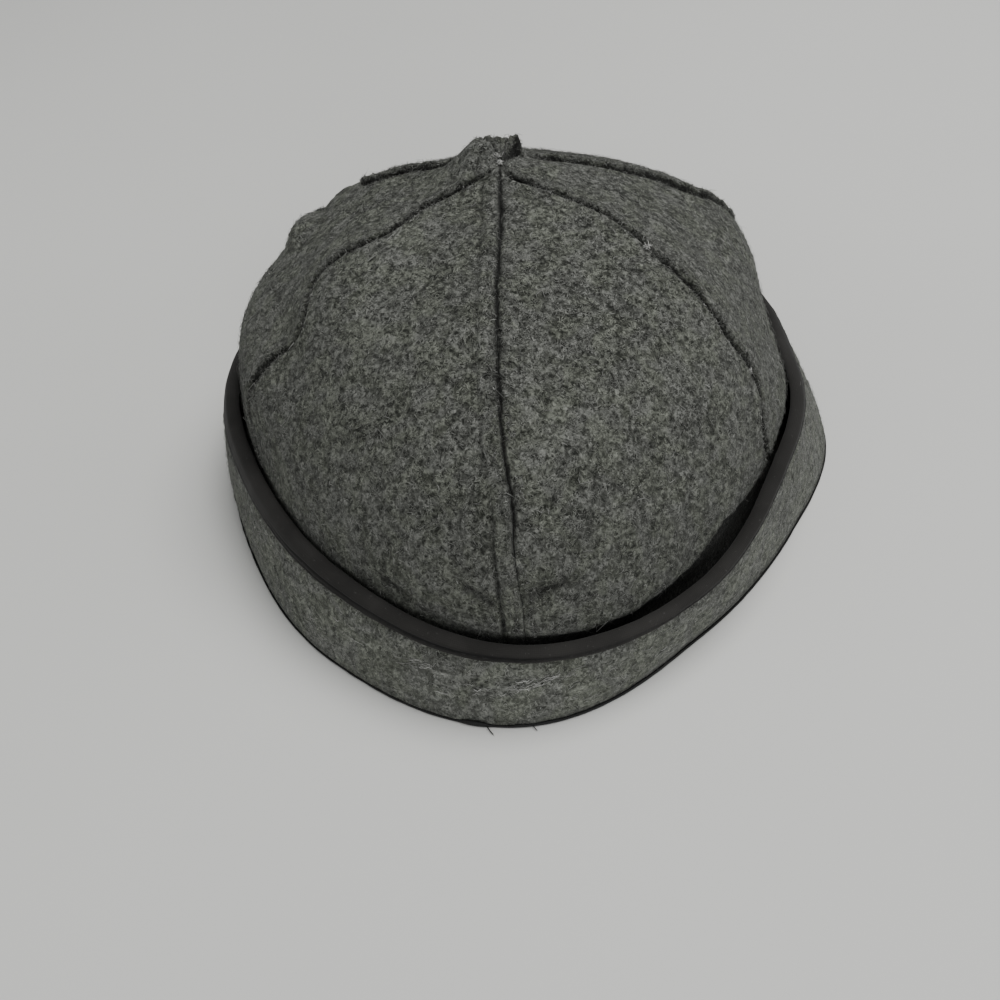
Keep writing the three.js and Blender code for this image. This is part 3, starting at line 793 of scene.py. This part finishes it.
# binding over the band's edge
binding = {"stitchPitch": 2.7, "stitchFromEdge": 0.6, "stitchDip": 0.32, "creaseDip": 0.42, "waver": 0.12,
           "puff": 0.16, "deepest": 0.6}
tape = around("tape", turn)
outSide = cap["bandCloth"] + cap["tapeSlack"]
inSide = -cap["tapeSlack"]
thick = cap["tapeCloth"]
crestOut, crestIn = outSide + thick, inSide - thick
crestMiddle, crestHalf = (crestOut + crestIn) / 2, (crestOut - crestIn) / 2
crestDrop = 1.2


# profile round the tape: outer face up, over a half-round crest, inner face down, and back inside it;
# a straight run goes from start to end in equal steps, the crest is half a circle
def bindingProfile():
    outs, downs, kinds = [], [], []

    def straightRun(kind, steps, out, start, end):
        for t in np.linspace(0, 1, steps):
            outs.append(out + 0 * tape)
            downs.append(start + (end - start) * t)
            kinds.append(kind)

    underCrest = thick + 0.35
    straightRun("face", 15, crestOut, tape, crestDrop)
    for t in np.linspace(0, 1, 11)[1:-1]:
        outs.append(crestMiddle + crestHalf * math.cos(math.pi * t) + 0 * tape)
        downs.append(crestDrop * (1 - math.sin(math.pi * t)) + 0 * tape)
        kinds.append("crest")
    straightRun("inner", 6, crestIn, crestDrop, tape)
    straightRun("under", 3, inSide, tape, underCrest)
    straightRun("under", 3, outSide, underCrest, tape)
    return np.stack(outs, axis=1), np.stack(downs, axis=1), np.array(kinds)


outs, downs, kinds = bindingProfile()
turns = np.broadcast_to(turn[:, None], outs.shape)
onFace = (kinds == "face")[None, :]
onSkin = ((kinds == "face") | (kinds == "crest"))[None, :]
fromEdge = tape[:, None] - downs
stitchWave = 0.5 + 0.5 * np.cos(2 * math.pi * run[:, None] / binding["stitchPitch"])
stitchBell = np.exp(-((fromEdge - binding["stitchFromEdge"]) / 0.4) ** 2)
stitchDip = -binding["stitchDip"] * (0.55 + 0.45 * stitchWave) * stitchBell
creaseShare = np.exp(-(turnBetween(turns, -112) / 24) ** 4)
creaseLine = 0.62 * tape[:, None] * (1 + 0.08 * latticeNoise(polar(turns, 90 + 0 * outs, 0 * outs), 9, 41))
creaseDip = -binding["creaseDip"] * (0.15 + 0.85 * creaseShare) * np.exp(-((downs - creaseLine) / 0.42) ** 2)
rawSpot = polar(turns, bandRadius(turns, around("top", turns) - downs) + outs, around("top", turns) - downs)
waver = binding["waver"] * (latticeNoise(rawSpot, 7, 42) + 0.5 * latticeNoise(rawSpot, 3, 43))
puff = binding["puff"] * np.sin(np.clip(fromEdge / (tape[:, None] - crestDrop), 0, 1) * math.pi)
push = np.where(onFace, stitchDip + creaseDip + puff, 0) + np.where(onSkin, waver, 0)
push = np.maximum(push, -binding["deepest"])
edgeWaver = np.where(fromEdge < 0.3, 0.22 * latticeNoise(rawSpot, 5, 44), 0)
tops = around("top", turns)
heights = tops - downs + edgeWaver + np.where((kinds == "crest")[None, :], 0.12 * latticeNoise(rawSpot, 9, 45), 0)
bindingLoops = polar(turns, bandRadius(turns, tops - downs) + outs + push, heights)
profileRun = np.concatenate([[0], np.cumsum(np.hypot(np.diff(outs[0]), np.diff(downs[0])))])
# bindingShade: painted shade in the crease and in the stitch dips of the binding's face
bindingShade = np.where(onFace, np.clip(-creaseDip * 2.0, 0, 0.8) + np.clip(-stitchDip * 1.2, 0, 0.5), 0)
bindingPiece = ringPiece("binding_tape_top", bindingLoops, profileRun, bindingShade, bindingTape)
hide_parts("earflap_binding")

# edging tape under the rim, with its lapped end at the back
edging = {"lapAngle": -96.6, "lapSpread": 1.9, "lapHeight": 0.9, "lip": 0.25, "height": 0.45}
height = edging["height"]
rimSpot = polar(turn, around("rim", turn), 0 * turn)
lap = np.exp(-(turnBetween(turn, edging["lapAngle"]) / edging["lapSpread"]) ** 4)
after = easeStep(turn, edging["lapAngle"] + 1.0, edging["lapAngle"] + 2.6) * (1 - easeStep(turn, -70, -40))
lipHeight = height + 0.35 + edging["lapHeight"] * lap + 0.35 * after + 0.15 * latticeNoise(rimSpot, 4, 61)
reach = around("rim", turn) + edging["lip"] + 0.3 * lap + 0.06 * latticeNoise(rimSpot, 3, 62)
tuck = around("rim", turn) + 0.06
innerReach = around("rim", turn) - cap["bandCloth"] - cap["gap"] - cap["crownCloth"] - 0.4
profile = [(innerReach, 0.1), (innerReach + 0.12, 0.0), (reach - 1.2, 0.0), (reach - 0.2, 0.0), (reach, 0.25),
           (reach + 0.06, 0.45), (reach, lipHeight - 0.15), (reach - 0.12, lipHeight), (tuck, lipHeight - 0.05),
           (tuck, height + 0.1), (tuck - 0.15, height), (innerReach + 0.12, height), (innerReach, height - 0.1)]
edgingLoops = np.stack([polar(turn, radius, rimLevel + 0 * turn) for radius, rimLevel in profile], axis=1)
edgingPiece = ringPiece("edging_tape_rim", edgingLoops, 0.8 * np.arange(len(profile)),
                        np.zeros(len(profile) * len(turn)), edgingTape)
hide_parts("rim_binding")
print("binding and edging made")


# threads and hairs
# round strands along given centre lines: (count, stations, 3) points, radius (count, stations),
# with sides corners a ring and both ends closed to a point
def strandMesh(name, lines, radius, sides, tones, material):
    count, stations = lines.shape[:2]
    ahead = unit(np.gradient(lines, axis=1))
    helper = unit(np.cross(ahead, np.where(np.abs(ahead[..., 2:]) < 0.8, [0, 0, 1.0], [1.0, 0, 0])))
    other = np.cross(ahead, helper)
    corner = 2 * math.pi * np.arange(sides) / sides
    ring = (lines[:, :-1, None] + radius[:, :-1, None, None]
            * (helper[:, :-1, None] * np.cos(corner)[:, None] + other[:, :-1, None] * np.sin(corner)[:, None]))
    points = np.concatenate([ring.reshape(count, -1, 3), lines[:, -1:],
                             lines[:, :1] - ahead[:, :1] * radius[:, :1, None]], axis=1)
    size = points.shape[1]
    start = np.arange(count)[:, None, None] * size
    station = np.arange(stations - 2)[None, :, None] * sides
    j = np.arange(sides)[None, None, :]
    k = (j + 1) % sides
    quads = np.stack([start + station + j, start + station + k, start + station + sides + k,
                      start + station + sides + j], axis=-1).reshape(-1, 4)
    last = start + (stations - 2) * sides
    tip, tail = start + size - 2, start + size - 1
    tips = np.stack(np.broadcast_arrays(last + j, last + k, tip), axis=-1).reshape(-1, 3)
    tails = np.stack(np.broadcast_arrays(start + k, start + j, tail), axis=-1).reshape(-1, 3)
    return makePiece(name, points.reshape(-1, 3), quads, material, np.concatenate([tips, tails]),
                     masks={"fibreTone": np.repeat(tones, size)})


# random spots on a face grid, more where the weight is larger; gives spots, outward and run directions
def spotsOn(grid, weight, count, chance):
    across, up = grid[1:, 1:] - grid[:-1, :-1], grid[1:, :-1] - grid[:-1, 1:]
    out = np.cross(across, up)
    area = np.linalg.norm(out, axis=-1) * weight[:-1, :-1]
    pick = chance.choice(area.size, count, p=(area / area.sum()).ravel())
    i, j = np.unravel_index(pick, area.shape)
    a, b = chance.random((2, count, 1))
    spot = (grid[i, j] * (1 - a) * (1 - b) + grid[i + 1, j] * a * (1 - b)
            + grid[i, j + 1] * (1 - a) * b + grid[i + 1, j + 1] * a * b)
    return spot, unit(out[i, j])


hair = {
    "crownCount": 3300, "frayCount": 1500, "bandCount": 4800, "short": (0.9, 3.2), "fray": (0.5, 1.5),
    "lift": (0.1, 0.45), "radius": (0.035, 0.15), "standing": 0.5, "standLift": (0.3, 1.05),
    "standRadius": (0.02, 0.05), "rooted": 0.12, "bend": 0.5, "curl": 0.22,
}


# wool hairs: each leaves the cloth, bows along it and ends in a point; some stand further out
def hairLines(spot, out, chance, lengthRange, scale=1.0):
    count = len(spot)
    aim = chance.normal(size=(count, 3))
    flat = unit(aim - out * (aim * out).sum(-1, keepdims=True))
    side = np.cross(out, flat)
    standing = chance.random(count) < hair["standing"]
    length = chance.uniform(*lengthRange, count) * scale
    lift = np.where(standing, chance.uniform(*hair["standLift"], count),
                    chance.uniform(*hair["lift"], count)) * scale
    bend = chance.normal(0, hair["bend"], count) * length
    curl = chance.normal(0, hair["curl"], count) * length
    t = np.array([0.0, 0.34, 0.68, 1.0])[None, :, None]
    rise = np.where(standing[:, None, None], np.sin(t * math.pi * 0.55), np.sin(t * math.pi * 0.85))
    lines = (spot[:, None] - out[:, None] * hair["rooted"] + flat[:, None] * (length[:, None, None] * t)
             + side[:, None] * (bend[:, None, None] * t * t + curl[:, None, None] * np.sin(t * 5))
             + out[:, None] * (lift[:, None, None] * rise))
    thickRange = np.where(standing[:, None], [hair["standRadius"]], [hair["radius"]])
    radius = thickRange[:, 0] + (thickRange[:, 1] - thickRange[:, 0]) * chance.random(count) ** 2.2
    radius = radius[:, None] * np.array([1.0, 0.95, 0.75, 0.0])[None, :]
    return lines, radius


chance = np.random.default_rng(7)
for index, place in enumerate(goreNames):
    grid, behind, fromSeam = crownFaces[place]
    seen = np.clip(1 - 1.2 * behind, 0, 1) * easeStep(grid[..., 2], 6, 14)
    spot, out = spotsOn(grid, seen * (0.15 + 0.85 * easeStep(fromSeam, 0.4, 1.5)), hair["crownCount"], chance)
    lines, radius = hairLines(spot, out, chance, hair["short"])
    tufty = (0.4 + 0.6 * latticeNoise(grid, 3.0, 81)).clip(0.1)
    fray = seen * np.exp(-((fromSeam - 1.7) / 1.0) ** 2) * (fromSeam > 0.8) * tufty
    spot, out = spotsOn(grid, fray, hair["frayCount"], chance)
    frayLines, frayRadius = hairLines(spot, out, chance, hair["fray"], 0.8)
    lines, radius = np.concatenate([lines, frayLines]), np.concatenate([radius, 1.5 * frayRadius])
    tones = np.clip(chance.beta(1.4, 2.2, len(lines)), 0, 1)
    piece = strandMesh("wool_hair_" + place, lines, radius, 3, tones, woolHair)

# pale fibre rolled into small knots on the seams: angle, rise, strands and their longest length in mm
knots = table(
    "angle rise strands long",
    (90, 89.6, 26, 1.3),
    (100, 87.8, 22, 1.2),
    (-32.0, 40.0, 14, 0.9),
    (-31.0, 24.8, 14, 0.9),
    (-31.5, 54.6, 30, 1.3),
)
grid = np.concatenate([crownFaces[place][0].reshape(-1, 3) for place in goreNames])
spots, outwards, lengths = [], [], []
for knot in knots:
    knotLevel = np.array(knot["rise"] / cap["lastRise"])
    away = (grid - crownSpot(np.array(float(knot["angle"])), knotLevel)) * [1, 1, 0.3]
    near = grid[np.argmin((away**2).sum(-1))]
    spots.append(near + chance.normal(0, 0.28, (knot["strands"], 3)))
    outwards.append(np.repeat(crownNormal(np.array([float(knot["angle"])]), knotLevel), knot["strands"], axis=0))
    lengths.append(chance.uniform(0.4, 1.0, knot["strands"]) * knot["long"])
spot, out = np.concatenate(spots), np.concatenate(outwards)
lines, radius = hairLines(spot, out, chance, (1.0, 1.0))
lines = spot[:, None] + (lines - spot[:, None]) * np.concatenate(lengths)[:, None, None] + out[:, None] * 0.35
radius = np.maximum(radius, 0.08 * (radius > 0)) * 1.2
piece = strandMesh("wool_knots_crown", lines, radius, 4, 0.7 + 0.3 * chance.random(len(lines)), paleHair)

grid = np.concatenate([outerFace, outerFace[:1]], axis=0)
gridHeights = grid[..., 2]
tapeEdge = np.append(underTape, underTape[0])[:, None]
seen = easeStep(gridHeights, bandFoot, bandFoot + 2) * (1 - easeStep(gridHeights, tapeEdge - 0.6, tapeEdge + 0.3))
spot, out = spotsOn(grid.transpose(1, 0, 2), seen.T, hair["bandCount"], chance)
out = out * np.sign((out[:, :2] * spot[:, :2]).sum(-1))[:, None]
lines, radius = hairLines(spot, out, chance, hair["short"], 0.9)
lines[..., 2] = np.maximum(lines[..., 2], 0.2)  # none under the floor
piece = strandMesh("wool_hair_band", lines, radius, 3, np.clip(chance.beta(1.6, 2.2, len(spot)), 0, 1), woolHair)
print("wool hairs made")

# pale wisps that lie along the band at the back, bunched and climbing to the right
wisps = table(
    "angle height climb count long along spread",
    (-104.8, 15.3, 0.24, 26, 3.4, 2.2, 0.8),
    (-89.0, 13.9, 0.13, 48, 3.4, 3.8, 0.8),
    (-90.0, 9.5, 0.02, 9, 3.0, 9.0, 2.2),
    (-119.0, 12.5, 0.1, 7, 4.0, 4.0, 2.4),
    (-71.0, 11.5, 0.05, 8, 4.0, 4.0, 2.6),
)
backRadius = 105  # of the band at the back, turns millimetres into degrees
wispPoints = 12
lines = []
for wisp in wisps:
    for _ in range(wisp["count"]):
        aside = chance.normal(0, wisp["along"])
        middleHeight = wisp["height"] + wisp["climb"] * aside * 1.8 + chance.normal(0, wisp["spread"])
        wispLength = wisp["long"] * chance.uniform(0.3, 1.3)
        t = np.linspace(-0.5, 0.5, wispPoints)
        angles = wisp["angle"] + aside + t * wispLength / backRadius / degrees
        tilt = wisp["climb"] + chance.normal(0, 0.16)
        wispHeight = middleHeight + tilt * t * wispLength + chance.normal(0, 1.1) * t * t
        wispHeight = wispHeight + 0.2 * np.sin(t * chance.uniform(4, 9) + chance.uniform(0, 6))
        wispHeight = wispHeight + 0.08 * np.sin(t * chance.uniform(14, 22) + chance.uniform(0, 6))
        lines.append(polar(angles, bandRadius(angles, wispHeight) + cap["bandCloth"] + 0.2 + 0.2 * np.cos(t * 3),
                           wispHeight))
lines = np.array(lines)
thin = np.interp(np.linspace(0, 1, wispPoints), [0, 0.15, 0.8, 0.99, 1], [0.4, 1, 0.9, 0.4, 0.0])
radius = (0.035 + 0.075 * chance.random((len(lines), 1)) ** 2) * thin
piece = strandMesh("wool_wisps_band", lines, radius, 4, chance.random(len(lines)), paleHair)

# stitches: short strands that dip at both ends, along the binding's lower edge
stitches = {"long": 1.7, "radius": 0.13, "sunk": 0.18, "dip": 0.16}
count = int(run[-1] / binding["stitchPitch"])
centre = (np.arange(count) + 0.5) * binding["stitchPitch"]
t = np.linspace(-0.5, 0.5, 5)
along = centre[:, None] + t[None, :] * stitches["long"]
angles = np.interp(along, run, turn)
stitchHeight = tapeLine(angles) + binding["stitchFromEdge"]
dip = -stitches["dip"] * (2 * t[None, :]) ** 2
lines = polar(angles, bandRadius(angles, stitchHeight) + crestOut - stitches["sunk"] + dip,
              stitchHeight + 0.05 * t[None, :])
radius = stitches["radius"] * np.ones(lines.shape[:2]) * np.array([0.6, 1, 1, 0.8, 0.0])
piece = strandMesh("binding_stitches", lines, radius, 5, chance.random(count), blackThread)

# two cut thread ends left hanging at the back, lying out over the floor
threadEnds = [
    {"angle": -95.2, "long": 3.3, "swing": 1.3, "radius": 0.15},
    {"angle": -89.2, "long": 1.9, "swing": 0.8, "radius": 0.13},
]
lines, radius = [], []
for end in threadEnds:
    t = np.linspace(0, 1, 7)
    foot = around("rim", end["angle"]) - 0.2
    flat = polar(end["angle"] + end["swing"] * t**1.2, foot + end["long"] * t, 0.9 - 0.65 * t)
    lines.append(flat)
    radius.append(end["radius"] * np.array([1, 1, 1, 1, 1, 0.9, 0.0]))
piece = strandMesh("edging_thread_ends", np.array(lines), np.array(radius), 6, np.array([0.3, 0.7]), blackThread)
print("stitches and threads made")

# stage, light and camera

# the three directions and the place of a lamp or camera, as a matrix
def placement(right, up, back, place):
    return Matrix([[right[k], up[k], back[k], place[k]] for k in range(3)] + [[0, 0, 0, 1]])


stage = {"floorHalf": 4.0, "floorColour": (0.60, 0.60, 0.585)}
half = stage["floorHalf"]
floorMesh = bpy.data.meshes.new("floor")
floorMesh.from_pydata([(-half, -half, 0), (half, -half, 0), (half, half, 0), (-half, half, 0)], [], [(0, 1, 2, 3)])
floor = bpy.data.objects.new("floor", floorMesh)
bpy.context.scene.collection.objects.link(floor)
material, tree, shader = startMaterial("paleFloor")
place = addNode(tree, "ShaderNodeTexCoord", (-900, 0)).outputs["Object"]
mist = stretched(tree, (-500, 0), noise(tree, (-700, 0), place, 3.0, 3.0), 0.3, 0.7, 0.97, 1.03)
tree.links.new(blend(tree, (-300, 0), 1.0, stage["floorColour"], mist, "MULTIPLY"), shader.inputs["Base Color"])
shader.inputs["Roughness"].default_value = 0.8
floorMesh.materials.append(material)

lamps = table(
    "name place size power colour",
    ("overhead", (0.35, 0.2, 1.3), 1.0, 18.0, (1.0, 1.0, 0.98)),
    ("right", (1.2, -0.6, 0.6), 0.9, 3.0, (0.97, 0.97, 1.0)),
    ("left", (-1.1, -0.7, 0.6), 1.0, 1.1, (0.93, 1.0, 0.88)),
    ("behind", (0.1, -1.3, 0.25), 0.8, 9.2, (1.0, 1.0, 1.0)),
)
for lamp in lamps:
    light = bpy.data.lights.new(lamp["name"], "AREA")
    light.shape, light.size, light.energy, light.color = "DISK", lamp["size"], lamp["power"], lamp["colour"]
    holder = bpy.data.objects.new(lamp["name"], light)
    back = np.array(lamp["place"]) - np.array([0, 0, 0.04])
    back = back / np.linalg.norm(back)
    right = unit(np.cross([0, 0, 1.0], back))
    up = np.cross(back, right)
    holder.matrix_world = placement(right, up, back, lamp["place"])
    bpy.context.scene.collection.objects.link(holder)

world = bpy.data.worlds.new("studio")
world.use_nodes = True
world.node_tree.nodes["Background"].inputs["Color"].default_value = (0.86, 0.87, 0.88, 1)
world.node_tree.nodes["Background"].inputs["Strength"].default_value = 0.35
bpy.context.scene.world = world

view = {
    "place": (0.006311, -0.297062, 0.246819), "right": (0.99836, 0.0044, -0.05701),
    "up": (0.03936, 0.6704, 0.74095), "back": (0.04148, -0.74199, 0.66913), "lens": 43.2,
}
lens = bpy.data.cameras.new("camera")
lens.lens, lens.sensor_width, lens.clip_start, lens.clip_end = view["lens"], 36.0, 0.01, 50.0
camera = bpy.data.objects.new("camera", lens)
camera.matrix_world = placement(view["right"], view["up"], view["back"], view["place"])
bpy.context.scene.collection.objects.link(camera)
bpy.context.scene.camera = camera
print("stage, lights and camera set")

bpy.context.view_layer.update()
